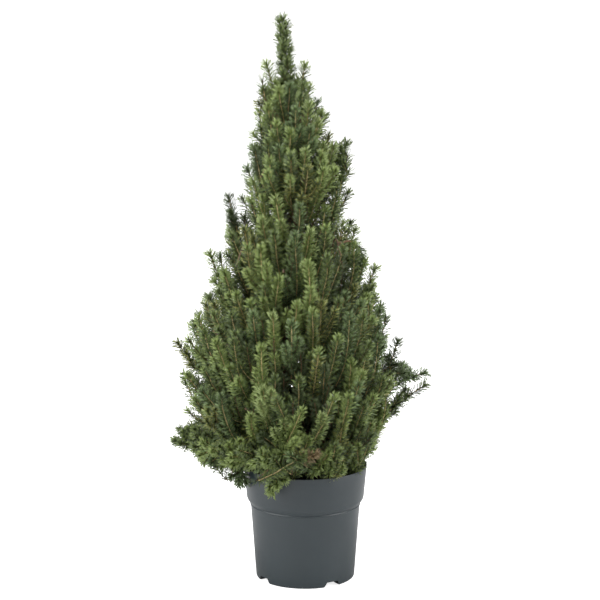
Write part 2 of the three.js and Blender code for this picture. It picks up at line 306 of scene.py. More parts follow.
# Radius and height, up the outside, over the rim and down the inside, in millimetres, each with the
# radius of its rounding.
POT_SECTION = [
    (0, 1.2, 0),
    (58, 1.2, 4),
    (62, 0, 2),
    (70.0, 0, 1),
    (75.9, 0, 6),
    (84.2, 114.2, 0.4),
    (85.3, 115.0, 0.4),
    (85.3, 116.2, 0.4),
    (84.6, 117.2, 0.8),
    (90.2, 124.8, 3.5),
    (95.0, 177.0, 0.9),
    (93.0, 177.0, 0.9),
    (88.4, 129, 4),
    (82.5, 117, 3),
    (73.6, 8, 5),
    (68.0, 3, 3),
    (0, 3.2, 0),
]


def rounded(section, arc_steps=5):
    """The section with each corner turned into a small arc."""
    corners = np.array([row[:2] for row in section], float)
    points = [corners[0]]
    for i in range(1, len(corners) - 1):
        radius = section[i][2]
        back, ahead = corners[i - 1] - corners[i], corners[i + 1] - corners[i]
        back_length, ahead_length = np.linalg.norm(back), np.linalg.norm(ahead)
        cut = min(radius, 0.45 * back_length, 0.45 * ahead_length)
        start, end = corners[i] + back / back_length * cut, corners[i] + ahead / ahead_length * cut
        for t in np.linspace(0, 1, arc_steps):
            points.append((1 - t) ** 2 * start + 2 * t * (1 - t) * corners[i] + t**2 * end)
    points.append(corners[-1])
    return np.array(points) * MM


def turned(name, section, sides):
    """A closed shape turned about the Z axis. The section's first and last points lie on the axis."""
    turns = np.linspace(0, 2 * math.pi, sides, endpoint=False)
    inner = section[1:-1]
    rings = [
        np.column_stack([r * np.cos(turns), r * np.sin(turns), np.full(sides, z)]) for r, z in inner
    ]
    points = np.vstack([[[0, 0, section[0][1]]], *rings, [[0, 0, section[-1][1]]]])
    last = len(points) - 1
    faces = []
    for side in range(sides):
        after = (side + 1) % sides
        faces.append((0, 1 + after, 1 + side))
        for ring in range(len(inner) - 1):
            a = 1 + ring * sides
            faces.append((a + side, a + after, a + sides + after, a + sides + side))
        a = 1 + (len(inner) - 1) * sides
        faces.append((last, a + side, a + after))
    return new_piece(name, points, faces)


pot = turned("pot_shell", rounded(POT_SECTION), POT_SIDES)
print("the CAD pot's radius and height:", round(pot_high.x, 4), round(pot_high.z, 4))

# %% Drain notches
# Their size in millimetres; "first" is the angle of the first one, in degrees.
NOTCH = {"count": 4, "first": -57, "width": 29, "top_width": 19, "height": 8, "near": 58, "far": 84}
SHARP_ANGLE = math.radians(35)  # edges sharper than this stay crisp


def notch_cutter():
    cutter = bmesh.new()
    half, top = NOTCH["width"] / 2, NOTCH["top_width"] / 2
    face = [(-half - 1, -2), (half + 1, -2), (top, NOTCH["height"]), (-top, NOTCH["height"])]
    for i in range(NOTCH["count"]):
        angle = math.radians(NOTCH["first"] + 360 * i / NOTCH["count"] - 90)
        out = Vector((math.cos(angle), math.sin(angle), 0))
        side = Vector((-out.y, out.x, 0))
        near, far = (
            [cutter.verts.new((side * x + out * reach + Vector((0, 0, z))) * MM) for x, z in face]
            for reach in (NOTCH["near"], NOTCH["far"])
        )
        cutter.faces.new(near)
        cutter.faces.new(reversed(far))
        for a in range(4):
            b = (a + 1) % 4
            cutter.faces.new((near[b], near[a], far[a], far[b]))
    bmesh.ops.recalc_face_normals(cutter, faces=cutter.faces)
    mesh = bpy.data.meshes.new("notch cutter")
    cutter.to_mesh(mesh)
    return placed("notch cutter", mesh)


def baked(piece, name):
    """The piece with its modifiers worked out, as a plain mesh in a new object."""
    depsgraph = bpy.context.evaluated_depsgraph_get()
    mesh = bpy.data.meshes.new_from_object(piece.evaluated_get(depsgraph))
    bpy.data.objects.remove(piece)
    mesh.name = name
    return placed(name, mesh)


cutter = notch_cutter()
cut = pot.modifiers.new("drain notches", "BOOLEAN")
cut.object = cutter
cut.operation = "DIFFERENCE"
pot = baked(pot, "pot_shell")
bpy.data.objects.remove(cutter)
pot.data.polygons.foreach_set("use_smooth", [True] * len(pot.data.polygons))
pot.data.set_sharp_from_angle(angle=SHARP_ANGLE)
print("pot faces:", len(pot.data.polygons))

# %% [markdown]
# ## Pot plastic
# Satin blue-grey polypropylene shows three things up close: a gloss that wanders slightly where the
# mould was worn, a very fine grain, and a little dust and dried peat on the parts that look up.

# %% Pot material
pot_plastic, tree, shader = new_material("pot plastic", colour(34, 44, 49), 0.34)
patches = mottled(tree, scale=9.0, detail=3.0)
tinted = blended(tree, patches, colour(15, 28, 33), colour(21, 34, 39))
dusty = dusted(tree, tinted, colour(98, 98, 94), amount=0.16, scale=70.0)
tree.links.new(dusty, shader.inputs["Base Color"])
gloss = mottled(tree, scale=24.0, detail=5.0, low=0.38, high=0.45)
tree.links.new(gloss, shader.inputs["Roughness"])
shader.inputs["Specular IOR Level"].default_value = 0.52
grain = mottled(tree, scale=1400.0, detail=2.0)
bump(tree, shader, grain, strength=0.12, distance=0.2 * MM)
pot.data.materials.clear()
pot.data.materials.append(pot_plastic)
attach(pot, "root")
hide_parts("pot")
print("material:", pot_plastic.name)

# %% [markdown]
# ## The compost
# Peat-based compost fills the pot to a finger's width below the rim. Its body is a turned shape whose top
# is lifted and dented by noise. Crumbs of peat and bark lie on it: Geometry Nodes scatter a few lumps of
# uneven shape, each with its own turn and size, which is how such a surface forms.

# %% Compost body
compost_low, compost_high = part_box("compost")
SOIL_EDGE, SOIL_MIDDLE = 160 * MM, compost_high.z
SOIL_RADIUS = compost_high.x
SOIL_CURVE = 1.6  # the higher this is, the flatter the middle
SOIL_WALL = [(71 * MM, compost_low.z), (81.3 * MM, 117 * MM), (87.5 * MM, 131 * MM)]
CLODS = [(70, 2.6), (190, 1.6), (520, 0.9)]  # how fine, and how high in millimetres
TOP_SIDE = 150 * MM  # the compost's top is all above this

soil_rings = np.linspace(1, 0, 46)[:-1]
soil_section = [(0, compost_low.z), *SOIL_WALL]
soil_section += [
    (SOIL_RADIUS * s, SOIL_MIDDLE + (SOIL_EDGE - SOIL_MIDDLE) * s**SOIL_CURVE) for s in soil_rings
]
soil_section.append((0, SOIL_MIDDLE))
soil = turned("compost_bed", np.array(soil_section), 120)
for vertex in soil.data.vertices:
    here = vertex.co
    from_edge = SOIL_RADIUS - math.hypot(here.x, here.y)
    if here.z > TOP_SIDE and from_edge > 0.5 * MM:
        ease = min(1.0, from_edge / (6 * MM))
        clods = sum(noise.noise(here * fine) * high for fine, high in CLODS)
        here.z += ease * (clods - 1.0) * MM
print("compost points:", len(soil.data.vertices))


# %% Geometry Nodes: scattered crumbs
def new_geometry_tree(name, sockets):
    """A tree with a named input for each size. Gives its ends, and each input's identifier."""
    tree = bpy.data.node_groups.new(name, "GeometryNodeTree")
    for way in ("INPUT", "OUTPUT"):
        tree.interface.new_socket("Geometry", in_out=way, socket_type="NodeSocketGeometry")
    identifiers = {}
    for title, kind in sockets.items():
        socket = tree.interface.new_socket(title, in_out="INPUT", socket_type="NodeSocket" + kind)
        identifiers[title] = socket.identifier
    given, made = tree.nodes.new("NodeGroupInput").outputs, tree.nodes.new("NodeGroupOutput").inputs
    return tree, given, made["Geometry"], identifiers


def run_tree(piece, name, tree, identifiers, values):
    """The piece as the tree makes it, as a plain mesh."""
    modifier = piece.modifiers.new(tree.name, "NODES")
    modifier.node_group = tree
    for title, value in values.items():
        modifier[identifiers[title]] = value
    return baked(piece, name)


def random_value(tree, low, high, seed):
    made = add(tree, "FunctionNodeRandomValue", {"Seed": seed}, data_type="FLOAT")
    made.inputs[2].default_value, made.inputs[3].default_value = low, high
    return made.outputs[1]


def random_turn(tree, seed):
    made = add(tree, "FunctionNodeRandomValue", {"Seed": seed}, data_type="FLOAT_VECTOR")
    made.inputs[0].default_value, made.inputs[1].default_value = (0, 0, 0), (6.283, 6.283, 6.283)
    return made.outputs[0]


def real_copies(tree, spots, shape, rotation, scale):
    """A copy of the shape's object on each spot, as real geometry."""
    shape = add(tree, "GeometryNodeObjectInfo", {"Object": shape}).outputs["Geometry"]
    inputs = {"Points": spots, "Instance": shape, "Rotation": rotation, "Scale": scale}
    copies = add(tree, "GeometryNodeInstanceOnPoints", inputs).outputs["Instances"]
    return add(tree, "GeometryNodeRealizeInstances", {"Geometry": copies}).outputs["Geometry"]


def painted(tree, geometry, material, where=True):
    """The geometry with the material, on the faces picked out."""
    inputs = {"Geometry": geometry, "Selection": where, "Material": material}
    return add(tree, "GeometryNodeSetMaterial", inputs).outputs["Geometry"]


CRUMB_SPREAD = (0.35, 1.3)  # the smallest and largest share of the size given
scatter, given, end, SCATTER = new_geometry_tree(
    "scattered crumbs",
    {
        "Crumb": "Object",
        "Per square metre": "Float",
        "Size": "Float",
        "Stretch": "Float",
        "Seed": "Int",
        "Material": "Material",
    },
)
inputs = {"Mesh": given["Geometry"], "Density": given["Per square metre"], "Seed": given["Seed"]}
spots = add(scatter, "GeometryNodeDistributePointsOnFaces", inputs).outputs["Points"]
size = maths(scatter, "MULTIPLY", given["Size"], random_value(scatter, *CRUMB_SPREAD, 5))
long_side = maths(scatter, "MULTIPLY", size, given["Stretch"])
scale = add(scatter, "ShaderNodeCombineXYZ", {"X": size, "Y": size, "Z": long_side}).outputs["Vector"]
crumbs = real_copies(scatter, spots, given["Crumb"], random_turn(scatter, 9), scale)
scatter.links.new(painted(scatter, crumbs, given["Material"]), end)
print("scatter inputs:", list(SCATTER))

# %% Compost and crumb materials
tones = colour(30, 22, 17), colour(62, 47, 36)
peat, tree, shader, _ = two_tone("peat", colour(44, 34, 27), *tones, roughness=0.92, scale=120.0, detail=6.0)
crumbly = mottled(tree, scale=900.0, detail=4.0)
bump(tree, shader, crumbly, strength=0.6, distance=0.8 * MM)
tones = colour(48, 34, 25), colour(96, 70, 48)
chip, tree, shader, patches = two_tone(
    "bark chip", colour(74, 52, 36), *tones, roughness=0.85, scale=260.0, detail=4.0
)
bump(tree, shader, patches, strength=0.4, distance=0.5 * MM)
soil.data.materials.append(peat)
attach(soil, "root")
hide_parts("compost")


# %% Scatter the crumbs
PATCH_BOTTOM, PATCH_MARGIN = 154 * MM, 3 * MM  # crumbs lie above the one, and this far from the wall
UNEVENNESS = 0.45
CRUMBS = {
    "compost_crumbs": {"Per square metre": 75000.0, "Size": 1.5 * MM, "Stretch": 1.2, "Seed": 3},
    "compost_bark_chips": {"Per square metre": 9000.0, "Size": 2.4 * MM, "Stretch": 1.9, "Seed": 8},
}
CRUMB_KINDS = {"compost_crumbs": (0.8, peat), "compost_bark_chips": (0.35, chip)}  # how flat, of what


def from_bmesh(name, shape):
    mesh = bpy.data.meshes.new(name)
    shape.to_mesh(mesh)
    return placed(name, mesh)


def lump(name, seed, flat):
    """An uneven stone of 20 faces."""
    shape = bmesh.new()
    bmesh.ops.create_icosphere(shape, subdivisions=1, radius=1)
    for vertex in shape.verts:
        vertex.co *= 1 + UNEVENNESS * noise.noise(vertex.co * 1.7 + Vector((seed, 0, 0)))
        vertex.co.y *= flat
    return from_bmesh(name, shape)


def off_patch(face):
    middle = face.calc_center_median()
    level = middle.z > PATCH_BOTTOM and face.normal.z > 0.2
    return not level or middle.xy.length > SOIL_RADIUS - PATCH_MARGIN


def soil_patch(name):
    """Only the top faces of the compost, away from the pot's wall, to scatter on."""
    shape = bmesh.new()
    shape.from_mesh(soil.data)
    bmesh.ops.delete(shape, geom=[f for f in shape.faces if off_patch(f)], context="FACES")
    return from_bmesh(name, shape)


for name, values in CRUMBS.items():
    flat, material = CRUMB_KINDS[name]
    crumb = lump("crumb", values["Seed"], flat)
    values = {"Crumb": crumb, "Material": material, **values}
    piece = run_tree(soil_patch(name), name, scatter, SCATTER, values)
    bpy.data.objects.remove(crumb)
    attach(piece, "root")
    print(name, "faces:", len(piece.data.polygons))


# %% [markdown]
# ## Reading the CAD plant
# The trunk's solid is a stack of level rings, so the mean of each ring gives its centre line and radius.
# Each foliage mass is a blunt flame that starts at its bough, so its points, sorted by distance from the
# trunk and averaged in runs, give the line that its bough follows.


# %% Trunk line and masses
def points_of(node):
    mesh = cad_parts[node].data
    co = np.empty(len(mesh.vertices) * 3)
    mesh.vertices.foreach_get("co", co)
    return co.reshape(-1, 3)


def triangles_of(node):
    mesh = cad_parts[node].data
    mesh.calc_loop_triangles()
    corners = np.empty(len(mesh.loop_triangles) * 3, int)
    mesh.loop_triangles.foreach_get("vertices", corners)
    return corners.reshape(-1, 3)


trunk_points = points_of("trunk")
ring_heights = np.unique(np.round(trunk_points[:, 2], 4))
ring_members = [trunk_points[np.abs(trunk_points[:, 2] - z) < 1e-4] for z in ring_heights]
ring_centres = np.array([members.mean(axis=0) for members in ring_members])
ring_radii = np.array([np.linalg.norm(m[:, :2] - m[:, :2].mean(0), axis=1).max() for m in ring_members])
TRUNK_FOOT, TRUNK_TIP = float(ring_heights[0]), float(ring_heights[-1])
lean_x = np.polynomial.Polynomial.fit(ring_heights, ring_centres[:, 0], 8)
lean_y = np.polynomial.Polynomial.fit(ring_heights, ring_centres[:, 1], 8)


def trunk_at(z):
    level = np.clip(z, TRUNK_FOOT, TRUNK_TIP)
    return np.array([lean_x(level), lean_y(level), z])


def unit(vector):
    vector = np.asarray(vector, float)
    return vector / max(np.linalg.norm(vector), 1e-12)


BOUGH_NODES = sorted(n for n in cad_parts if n.startswith("bough_"))
MASS_NODES = sorted(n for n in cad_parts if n.startswith("foliage_") and n != "foliage_leader")
LONE_NODES = sorted(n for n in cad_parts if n.startswith(("spray_", "overhang_", "fork_", "finger_")))


def outward_line(node, runs):
    """Means of a node's points, in runs by level distance from the trunk."""
    co = points_of(node)
    away = np.array([np.linalg.norm(p[:2] - trunk_at(p[2])[:2]) for p in co])
    runs_out = np.array_split(co[np.argsort(away, kind="stable")], runs)
    return np.array([run.mean(axis=0) for run in runs_out])


print("masses:", len(MASS_NODES), "lone sprays:", len(LONE_NODES), "trunk rings:", len(ring_heights))

# %% [markdown]
# ## Trunk and boughs with bark
# Young spruce bark is thin and grey-brown, with small scales that lift at their edges. A limb here is a
# tube whose surface is pushed in along the borders of a cell pattern, so the scales are real relief. The
# boughs run from the trunk into their masses and thin out as they go.


# %% A limb with relief
SCALE_SQUEEZE = 0.55  # bark scales are taller than they are wide
CRACK_WIDTH = 0.22  # of a scale
SWELL = 0.35  # how uneven the limb's girth is, as a share of the scales' depth


def smooth_line(points, steps):
    """A Catmull-Rom curve through the points, with evenly shared steps."""
    p = np.vstack([2 * points[0] - points[1], points, 2 * points[-1] - points[-2]])
    line = []
    for u in np.linspace(0, len(points) - 1, steps):
        k = min(int(u), len(points) - 2)
        t = u - k
        a, b, c, d = p[k : k + 4]
        square, cube = 2 * a - 5 * b + 4 * c - d, 3 * b - a - 3 * c + d
        line.append(0.5 * (2 * b + (c - a) * t + square * t**2 + cube * t**3))
    return np.array(line)


def limb(line, radii, sides, scale_size, depth):
    """Points and faces of a closed tube round a line, with bark scales. Also how deep each point lies."""
    ahead = np.gradient(line, axis=0)
    side = unit(np.cross(ahead[0], (0.3, 1, 0.1)))
    points, cracks = [], []
    for centre, direction, radius in zip(line, ahead, radii):
        direction = unit(direction)
        side = unit(side - direction * side.dot(direction))
        other = np.cross(direction, side)
        for turn in np.linspace(0, 2 * math.pi, sides, endpoint=False):
            out = math.cos(turn) * side + math.sin(turn) * other
            here = Vector(centre + out * radius)
            squeezed = Vector((here.x, here.y, here.z * SCALE_SQUEEZE)) / scale_size
            near, second = noise.voronoi(squeezed)[0][:2]
            crack = max(0.0, 1 - (second - near) / CRACK_WIDTH)
            swell = SWELL * noise.noise(here / (6 * scale_size))
            points.append(centre + out * (radius + depth * (swell - crack)))
            cracks.append(crack)
    rings = len(line)
    points += [line[0], line[-1]]
    cracks += [0, 0]
    faces = []
    for ring in range(rings - 1):
        for k in range(sides):
            a, b = ring * sides + k, ring * sides + (k + 1) % sides
            faces.append((a, b, b + sides, a + sides))
    for k in range(sides):
        after = (k + 1) % sides
        faces.append((rings * sides, after, k))
        faces.append((rings * sides + 1, (rings - 1) * sides + k, (rings - 1) * sides + after))
    return np.array(points), faces, cracks


def bark_piece(name, limbs, material):
    points, faces, cracks = [], [], []
    for limb_points, limb_faces, limb_cracks in limbs:
        first = sum(map(len, points))
        points.append(limb_points)
        faces += [[first + corner for corner in face] for face in limb_faces]
        cracks += limb_cracks
    piece = new_piece(name, np.vstack(points), faces)
    piece.data.attributes.new("crack", "FLOAT", "POINT").data.foreach_set("value", cracks)
    piece.data.materials.append(material)
    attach(piece, "root")
    print(name, "faces:", len(faces))
    return piece


# %% Bark material
bark, tree, shader = new_material("spruce bark", colour(108, 86, 66), 0.88)
patches = mottled(tree, scale=300.0, detail=5.0)
whole = blended(tree, patches, colour(92, 70, 52), colour(138, 114, 90))
crack = add(tree, "ShaderNodeAttribute", attribute_name="crack").outputs["Fac"]
cracked = blended(tree, crack, whole, colour(50, 36, 27))
dusty = dusted(tree, cracked, colour(150, 140, 124), amount=0.3, scale=200.0)
tree.links.new(dusty, shader.inputs["Base Color"])
fine = mottled(tree, scale=1500.0, detail=3.0)
bump(tree, shader, fine, strength=0.5, distance=0.3 * MM)
print("material:", bark.name)

# %% Trunk
trunk_heights = np.linspace(TRUNK_FOOT - 2 * MM, TRUNK_TIP - 1 * MM, 420)
trunk_line = np.array([trunk_at(z) for z in trunk_heights])
trunk_radii = np.interp(trunk_heights, ring_heights, ring_radii)
trunk_radii[-1] *= 0.6  # rounds the tip off
trunk_limb = limb(trunk_line, trunk_radii, sides=40, scale_size=3.2 * MM, depth=0.45 * MM)
trunk = bark_piece("trunk_bark", [trunk_limb], bark)
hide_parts("trunk")

# %% Boughs
BOUGH_STEPS = 44
BOUGH_END = 0.72  # share of a mass's line that its bough runs to
BOUGH_DROP = 9 * MM  # a bough leaves the trunk this far below where its mass starts
SKIRT_GIRTH, END_GIRTH = 3.3, 1.0  # radii in millimetres
HIGHER_GIRTHS = ([0.2, 0.65], [2.9, 1.5])  # heights, and the radius of a bough that starts there


def bough_line(mass):
    line = outward_line(mass, 7)
    if mass.startswith("foliage_skirt"):
        nearest = min(BOUGH_NODES, key=lambda n: np.linalg.norm(points_of(n).mean(axis=0) - line[0]))
        inner, entry = outward_line(nearest, 6)[[0, -1]]
        start = trunk_at(inner[2])
    else:
        start, entry = trunk_at(line[0][2] - BOUGH_DROP), line[0]
    keep = max(2, round(BOUGH_END * len(line)))
    return smooth_line(np.vstack([start, entry, line[1 : keep + 1]]), BOUGH_STEPS)


boughs = {name: bough_line(name) for name in MASS_NODES}
bough_limbs = []
for name, line in boughs.items():
    stout = SKIRT_GIRTH if "skirt" in name else np.interp(line[0][2], *HIGHER_GIRTHS)
    radii = np.linspace(stout, END_GIRTH, BOUGH_STEPS) * MM
    bough_limbs.append(limb(line, radii, sides=10, scale_size=2.2 * MM, depth=0.28 * MM))
bough_piece = bark_piece("boughs_bark", bough_limbs, bark)
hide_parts(*BOUGH_NODES)

# %% [markdown]
# ## Where the shoots end
# Seen from outside, the crown is made of long shoots that stand side by side. So the branching rule works
# from the outside in. The crown's outline is measured off the CAD masses all round and evened out, so
# that no mass shows as a step. Tips are dealt over it, further apart in height than across, because each
# shoot hides what is behind its length. Two looser layers lie deeper. Every shoot is then led back to
# the bough of its nearest mass. All the random numbers come from one seeded stream.

# %% How shoots lean
rng = np.random.default_rng(20)
# A shoot's lean from upright, in degrees, at each height: level on the skirt, upright at the top.
LEAN_HEIGHTS = [0.175, 0.20, 0.225, 0.26, 0.31, 0.38, 0.48, 0.60, 0.72, 0.86]
LEAN_DEGREES = [98, 80, 54, 36, 25, 18, 13, 11, 9, 4]
LEFT_LEAN = 0.4  # shoots on the left lean out this share more, and on the right less
UP = np.array([0.0, 0.0, 1.0])


def radial_at(point):
    away = point - trunk_at(point[2])
    away[2] = 0
    return unit(away)


def shoot_direction(point, lean_spread, turn_spread):
    out = radial_at(point)
    lean = np.interp(point[2], LEAN_HEIGHTS, LEAN_DEGREES) * (1 - LEFT_LEAN * out[0])
    lean = math.radians(lean + rng.normal(0, lean_spread))
    turn = math.radians(rng.normal(0, turn_spread))
    out = np.array([
        out[0] * math.cos(turn) - out[1] * math.sin(turn),
        out[0] * math.sin(turn) + out[1] * math.cos(turn),
        0,
    ])
    return math.sin(lean) * out + math.cos(lean) * UP


# %% The crown's outline all round
HEIGHT_STEP = 6 * MM
TURNS = 36  # steps round the crown
EVENING = (1, 2)  # how many steps the evening-out reaches, up and round
SPOTS_PER_MASS = 2600


def surface_spots(name, how_many):
    co, faces = points_of(name), triangles_of(name)
    a, b, c = co[faces[:, 0]], co[faces[:, 1]], co[faces[:, 2]]
    area = np.linalg.norm(np.cross(b - a, c - a), axis=1)
    pick = rng.choice(len(faces), how_many, p=area / area.sum())
    u, v = rng.random((2, how_many))
    fold = u + v > 1
    u[fold], v[fold] = 1 - u[fold], 1 - v[fold]
    return a[pick] + u[:, None] * (b - a)[pick] + v[:, None] * (c - a)[pick]


def evened(grid):
    for axis, far in enumerate(EVENING):
        weights = np.exp(-0.5 * (np.arange(-3 * far, 3 * far + 1) / far) ** 2)
        edges = [(0, 0), (0, 0)]
        edges[axis] = (3 * far, 3 * far)
        wide = np.pad(grid, edges, "wrap" if axis else "edge")
        grid = np.apply_along_axis(np.convolve, axis, wide, weights / weights.sum(), "valid")
    return grid


every_spot = np.vstack([surface_spots(name, SPOTS_PER_MASS) for name in MASS_NODES])
level = np.clip(every_spot[:, 2], TRUNK_FOOT, TRUNK_TIP)
away = every_spot[:, :2] - np.column_stack([lean_x(level), lean_y(level)])
lowest = every_spot[:, 2].min()
rows = ((every_spot[:, 2] - lowest) / HEIGHT_STEP).astype(int)
columns = ((np.arctan2(away[:, 1], away[:, 0]) / (2 * math.pi)) % 1 * TURNS).astype(int) % TURNS
reach = np.zeros((rows.max() + 1, TURNS))
np.maximum.at(reach, (rows, columns), np.linalg.norm(away, axis=1))
outline = evened(reach)
print("outline, mm out at each level:", (outline.mean(axis=1)[::12] / MM).round())


# %% Places on the outline
TOP_FULLNESS = 5 * MM  # the top's few shoots stand out past what the evening-out left
TOP_HEIGHTS = [0.62, 0.68]  # where that sets in
STEEPEST = 3  # a steeper slope of the outline counts as this
BOX_MARGIN = np.array([3, 3, 8]) * MM  # room for the needles round a shoot
# In front, over the rim, the compost shows between the low boughs.
CLEARING = {"left": -34 * MM, "right": 84 * MM, "front": -30 * MM, "below": 219 * MM}


def outline_at(row, column):
    """How far out the crown reaches at a place given in grid steps."""
    low_row = int(np.clip(row, 0, len(outline) - 2))
    low_column = int(column)
    up, on = np.clip(row - low_row, 0, 1), column - low_column
    cell = outline[low_row : low_row + 2].take((low_column, low_column + 1), axis=1, mode="wrap")
    return float(np.array([1 - up, up]) @ cell @ np.array([1 - on, on]))


def outline_spot(row, column):
    """A place on the outline, and the way it faces."""
    turn = 2 * math.pi * (column + 0.5) / TURNS
    out = np.array([math.cos(turn), math.sin(turn), 0])
    out_here = outline_at(row, column)
    slope = (outline_at(row + 1, column) - outline_at(row - 1, column)) / (2 * HEIGHT_STEP)
    z = lowest + (row + 0.5) * HEIGHT_STEP
    fuller = np.interp(z, TOP_HEIGHTS, [0, TOP_FULLNESS])
    return trunk_at(z) + (out_here + fuller) * out, unit(out - np.clip(slope, -STEEPEST, STEEPEST) * UP)


class Spacing:
    """Accepts a point only if no earlier one lies within an oval of the given sizes."""

    def __init__(self, across, upright):
        self.size = np.array([across, across, upright])
        self.cells = {}

    def accepts(self, point):
        scaled = point / self.size
        cell = tuple(np.floor(scaled).astype(int))
        near = [
            q
            for dx in (-1, 0, 1)
            for dy in (-1, 0, 1)
            for dz in (-1, 0, 1)
            for q in self.cells.get((cell[0] + dx, cell[1] + dy, cell[2] + dz), ())
        ]
        if near and np.min(np.sum((np.array(near) - scaled) ** 2, axis=1)) < 1:
            return False
        self.cells.setdefault(cell, []).append(scaled)
        return True


def within_crown(line):
    """Points moved, where they must be, so that their needles stay in the crown's own box."""
    low, high = np.array(CAD_BOX[0]) + BOX_MARGIN, np.array(CAD_BOX[1]) - BOX_MARGIN
    return np.clip(line, low, high)


def in_clearing(tip):
    inside = CLEARING["left"] < tip[0] < CLEARING["right"] and tip[1] < CLEARING["front"]
    return inside and tip[2] < CLEARING["below"]


# %% Deal out the tips
# In millimetres: how deep each layer lies, and how far apart its tips are each way.
LAYERS = [
    {"name": "outer", "inset": 0, "across": 20.5, "upright": 62},
    {"name": "second", "inset": 20, "across": 27, "upright": 60},
    {"name": "inner", "inset": 42, "across": 33, "upright": 54},
]
TRIES = 9000  # places tried for each layer
NEEDLE_SPREAD = 7.5 * MM  # how far needles stand out from a shoot's side
UNDERSIDE_LIFT = 6 * MM  # needles hang down further than they stand up
TRUNK_ROOM = 7 * MM  # no tip is nearer to the trunk than this
LEAN_SPREAD, TURN_SPREAD = 6, 12  # degrees
LOOSENESS = ([0.22, 0.42], [1.9, 1.0])  # heights, and how much wider those two are there
# Below and above these heights, tips lie closer together by these shares.
CLOSER = {"below": 0.23, "above": 0.66, "across": 0.85, "upright": 0.6}

slopes = np.gradient(outline, axis=0)
cell_area = outline * np.hypot(HEIGHT_STEP, slopes)
cell_odds = (cell_area / cell_area.sum()).ravel()
spot_owner = np.repeat(np.arange(len(MASS_NODES)), SPOTS_PER_MASS)
tips = []
for layer in LAYERS:
    wide = Spacing(layer["across"] * MM, layer["upright"] * MM)
    fine = Spacing(CLOSER["across"] * layer["across"] * MM, CLOSER["upright"] * layer["upright"] * MM)
    for cell in rng.choice(len(cell_odds), TRIES, p=cell_odds):
        row, column = divmod(int(cell), TURNS)
        spot, normal = outline_spot(row + rng.random(), column + rng.uniform(-0.5, 0.5))
        loose = np.interp(spot[2], *LOOSENESS)
        direction = shoot_direction(spot, LEAN_SPREAD * loose, TURN_SPREAD * loose**1.6)
        aside = 1 - max(0.0, float(normal @ direction))
        under = UNDERSIDE_LIFT * max(0.0, -float(normal[2]))
        tip = within_crown(spot - normal * (NEEDLE_SPREAD * aside + layer["inset"] * MM + under))
        tip_out = np.linalg.norm((tip - trunk_at(tip[2]))[:2])
        if tip_out < TRUNK_ROOM or in_clearing(tip):
            continue
        spacing = fine if tip[2] < CLOSER["below"] or tip[2] > CLOSER["above"] else wide
        if spacing.accepts(tip):
            nearest = np.argmin(np.sum((every_spot - tip) ** 2, axis=1))
            mass = MASS_NODES[spot_owner[nearest]]
            tips.append({"mass": mass, "tip": tip, "direction": direction, "layer": layer})
print("tips:", {layer["name"]: sum(t["layer"] is layer for t in tips) for layer in LAYERS})

# %% [markdown]
# ## Growing the wood
# A shoot is led back from its tip, turning from its own direction to the sweep in which it left the twig.
# A twig then joins its foot to the best place on the bough: near, and behind it. Side shoots leave it at
# a sharp angle and turn up beside it. Each strand carries its values with it: how thick it is, how far
# from the tip, and which shade of green it was dealt.

# %% Strands
SHADES = ["deep", "blue", "mid", "fresh", "light", "olive", "brown"]
# Half of a shoot's needles are darker, older ones.
DARKER = {"deep": "deep", "blue": "deep", "mid": "deep", "olive": "deep"}
DARKER |= {"fresh": "mid", "light": "mid", "brown": "brown"}
TUFT = 8 * MM  # needles stand twice as close on the last part of a shoot
TIP_LENGTH = 13 * MM  # the part that has its tip's shade
WANDER = 0.045  # how far a shoot strays from a smooth line
strands = {}  # by piece: the strands that carry needles
wood = []  # every twig and shoot


def tier_of(name):
    return name.split("_")[1] if name.startswith("foliage_") else "lone"


def led_back(tip, direction, foot_direction, length, steps):
    """A line that ends at the tip, and turns from one direction at its foot to another there."""
    t = np.linspace(0, 1, steps)[:, None]
    ways = (1 - t) * foot_direction + t * direction + rng.normal(0, WANDER, (steps, 3))
    ways /= np.linalg.norm(ways, axis=1)[:, None]
    strides = ways[1:] * length / (steps - 1)
    behind = np.vstack([np.cumsum(strides[::-1], axis=0)[::-1], np.zeros(3)])
    return tip - behind


def bezier(a, b, c, d, steps):
    t = np.linspace(0, 1, steps)[:, None]
    return (1 - t) ** 3 * a + 3 * t * (1 - t) ** 2 * b + 3 * t**2 * (1 - t) * c + t**3 * d


def lengths_to_tip(line):
    gaps = np.linalg.norm(np.diff(line, axis=0), axis=1)
    return np.append(np.cumsum(gaps[::-1])[::-1], 0)


def add_wood(line, thick, thin, young):
    wood.append({"line": line, "girth": np.linspace(thick, thin, len(line)) * MM, "young": young})


def add_needles(tier, line, shade, tip_shade, size=1.0, after=0.0, tufted=True):
    """Needles along a line. "after" is how far past the line's end the shoot's own tip is."""
    to_tip = lengths_to_tip(line) + after
    found = strands.setdefault(tier, [])
    for along, at_tip in ((shade, tip_shade), (DARKER[shade], DARKER[tip_shade])):
        shades = np.where(to_tip < TIP_LENGTH, SHADES.index(at_tip), SHADES.index(along)).astype(float)
        found.append({"line": line, "to_tip": to_tip, "shade": shades, "size": size})
    if tufted:
        tuft = line[-1] - unit(line[-1] - line[-2]) * np.array([[TUFT], [TUFT / 2], [0]])
        for at_tip in (tip_shade, DARKER[tip_shade]):
            shade_there = float(SHADES.index(at_tip))
            found.append({"line": tuft, "to_tip": lengths_to_tip(tuft), "shade": shade_there, "size": size})


